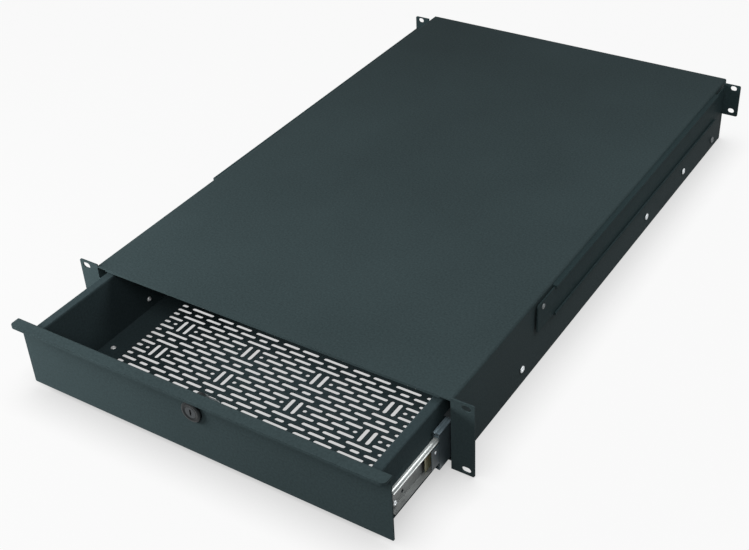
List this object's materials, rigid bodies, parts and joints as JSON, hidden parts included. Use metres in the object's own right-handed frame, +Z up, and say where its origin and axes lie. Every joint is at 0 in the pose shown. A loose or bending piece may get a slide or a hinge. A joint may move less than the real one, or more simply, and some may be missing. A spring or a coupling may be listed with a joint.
{
  "type": "sliding rack drawer",
  "caption": "Two-unit sliding drawer in a steel enclosure for a 19-inch rack, with ball-bearing slides, vented floor, cam lock, pull lip and adjustable rear ears.",
  "frame": {"origin": "centre of the four front rack holes, on the front face of the ears", "axes": "+X to the right seen from the front, +Y from the front to the rear of the rack, +Z up; the drawer opens along -Y"},
  "size_m": [0.4826, 0.8355, 0.0882],
  "materials": {
    "enclosure_black": "fine satin powder coat",
    "tray_black": "satin powder coat",
    "slide_zinc": "bright zinc plate",
    "ball_steel": "polished steel",
    "guide_plastic": "natural nylon",
    "zinc_fastener": "zinc plate",
    "lock_black": "black plated",
    "lock_chrome": "bright nickel"
  },
  "bodies": {
    "enclosure": {"enclosure_shell": "enclosure_black", "rear_panel": "enclosure_black", "left_bracket_channel": "enclosure_black", "right_bracket_channel": "enclosure_black", "lock_strike": "enclosure_black", "left_slide_outer": "slide_zinc", "right_slide_outer": "slide_zinc", "slide_mounting_screws": "zinc_fastener", "rear_panel_screws": "zinc_fastener"},
    "left_arm": {"left_rear_arm": "enclosure_black", "left_arm_screw": "zinc_fastener"},
    "right_arm": {"right_rear_arm": "enclosure_black", "right_arm_screw": "zinc_fastener"},
    "drawer": {"drawer_face": "enclosure_black", "tray_front": "tray_black", "left_tray_side": "tray_black", "right_tray_side": "tray_black", "tray_back": "tray_black", "vented_floor": "tray_black", "floor_rivets": "zinc_fastener", "wall_rivets": "zinc_fastener", "drawer_slide_screws": "zinc_fastener", "left_slide_inner": "slide_zinc", "right_slide_inner": "slide_zinc", "lock_body": "lock_black", "lock_nut": "zinc_fastener"},
    "lock": {"lock_plug": "lock_chrome", "lock_cam": "zinc_fastener", "cam_screw": "zinc_fastener"},
    "left_outer_cage": {"left_outer_ball_cage": "slide_zinc", "left_outer_balls": "ball_steel"},
    "left_middle": {"left_slide_middle": "slide_zinc", "left_slide_guide": "guide_plastic"},
    "left_inner_cage": {"left_inner_ball_cage": "slide_zinc", "left_inner_balls": "ball_steel"},
    "right_outer_cage": {"right_outer_ball_cage": "slide_zinc", "right_outer_balls": "ball_steel"},
    "right_middle": {"right_slide_middle": "slide_zinc", "right_slide_guide": "guide_plastic"},
    "right_inner_cage": {"right_inner_ball_cage": "slide_zinc", "right_inner_balls": "ball_steel"}
  },
  "joints": [
    {"name": "drawer_slide", "type": "slide", "parent": "enclosure", "child": "drawer", "axis": [0, -1, 0], "range_m": [-0.107, 0.533]},
    {"name": "left_outer_cage_slide", "type": "slide", "parent": "enclosure", "child": "left_outer_cage", "axis": [0, -1, 0], "range_m": [-0.02675, 0.13325]},
    {"name": "left_middle_slide", "type": "slide", "parent": "enclosure", "child": "left_middle", "axis": [0, -1, 0], "range_m": [-0.0535, 0.2665]},
    {"name": "left_inner_cage_slide", "type": "slide", "parent": "enclosure", "child": "left_inner_cage", "axis": [0, -1, 0], "range_m": [-0.08025, 0.39975]},
    {"name": "left_arm_slide", "type": "slide", "parent": "enclosure", "child": "left_arm", "axis": [0, 1, 0], "range_m": [-0.015, 0.15]},
    {"name": "right_outer_cage_slide", "type": "slide", "parent": "enclosure", "child": "right_outer_cage", "axis": [0, -1, 0], "range_m": [-0.02675, 0.13325]},
    {"name": "right_middle_slide", "type": "slide", "parent": "enclosure", "child": "right_middle", "axis": [0, -1, 0], "range_m": [-0.0535, 0.2665]},
    {"name": "right_inner_cage_slide", "type": "slide", "parent": "enclosure", "child": "right_inner_cage", "axis": [0, -1, 0], "range_m": [-0.08025, 0.39975]},
    {"name": "right_arm_slide", "type": "slide", "parent": "enclosure", "child": "right_arm", "axis": [0, 1, 0], "range_m": [-0.015, 0.15]},
    {"name": "lock_turn", "type": "hinge", "parent": "drawer", "child": "lock", "pos_m": [0, -0.0912, 0.01795], "axis": [0, -1, 0], "range_deg": [0, 90]}
  ],
  "couplings": [
    {"joint": "left_outer_cage_slide", "follows": "drawer_slide", "ratio": 0.25},
    {"joint": "left_middle_slide", "follows": "drawer_slide", "ratio": 0.5},
    {"joint": "left_inner_cage_slide", "follows": "drawer_slide", "ratio": 0.75},
    {"joint": "right_outer_cage_slide", "follows": "drawer_slide", "ratio": 0.25},
    {"joint": "right_middle_slide", "follows": "drawer_slide", "ratio": 0.5},
    {"joint": "right_inner_cage_slide", "follows": "drawer_slide", "ratio": 0.75}
  ]
}
